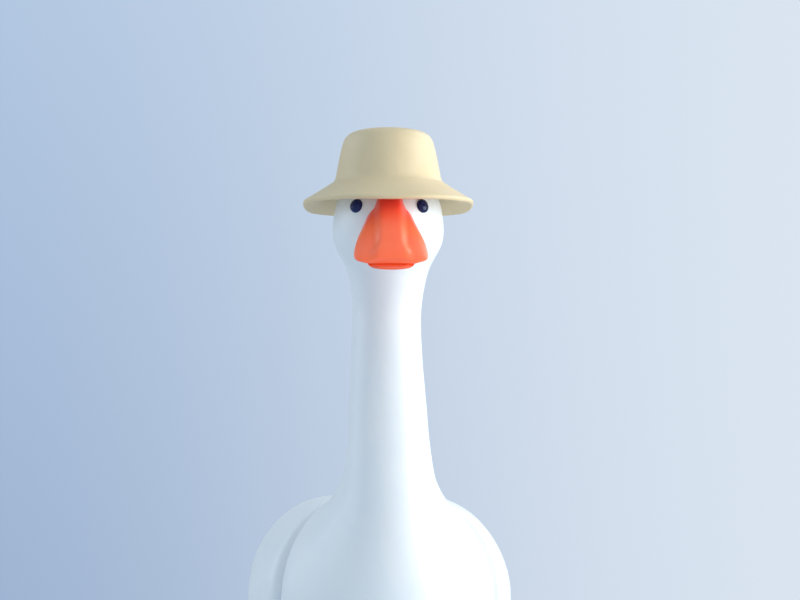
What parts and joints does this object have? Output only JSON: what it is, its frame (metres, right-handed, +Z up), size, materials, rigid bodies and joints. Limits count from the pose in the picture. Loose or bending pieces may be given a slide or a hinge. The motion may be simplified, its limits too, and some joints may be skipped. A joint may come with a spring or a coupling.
{
  "type": "drinking bird desk toy",
  "caption": "White goose in a bucket hat that rocks on an axle between two legs over a weighted base and dips its bill.",
  "frame": {"origin": "centre of the base pad's underside, on the table, straight below the axle", "axes": "+Z up; the goose faces -Y; +X is the goose's left side, along the axle"},
  "size_m": [0.0974, 0.1601, 0.2486],
  "materials": {
    "white_vinyl": "satin",
    "orange_plastic": "satin",
    "beige_vinyl": "satin",
    "eye_navy": "gloss",
    "steel": "satin",
    "brass": "satin",
    "cast_iron": "matte",
    "rubber": "matte"
  },
  "bodies": {
    "stand": {"base_pad": "rubber", "base_cover": "beige_vinyl", "ballast_plate": "steel", "leg_screw_1": "steel", "leg_screw_2": "steel", "left_foot": "orange_plastic", "right_foot": "orange_plastic", "left_leg": "orange_plastic", "right_leg": "orange_plastic", "axle": "steel", "left_axle_cap": "steel", "right_axle_cap": "steel"},
    "bird": {"body_shell": "white_vinyl", "belly_pan": "white_vinyl", "pan_screw_1": "steel", "pan_screw_2": "steel", "pan_screw_3": "steel", "pan_screw_4": "steel", "counterweight": "cast_iron", "weight_screw_1": "steel", "weight_screw_2": "steel", "left_axle_bush": "brass", "right_axle_bush": "brass", "left_wing": "white_vinyl", "right_wing": "white_vinyl", "upper_bill": "orange_plastic", "lower_bill": "orange_plastic", "left_eye": "eye_navy", "right_eye": "eye_navy"},
    "hat": {"hat": "beige_vinyl"}
  },
  "joints": [
    {"name": "bird_dip", "type": "hinge", "parent": "stand", "child": "bird", "pos_m": [0, 0, 0.09], "axis": [1, 0, 0], "range_deg": [-10, 55]},
    {"name": "hat_lift", "type": "slide", "parent": "bird", "child": "hat", "axis": [0, 0, 1], "range_m": [0, 0.045]}
  ]
}
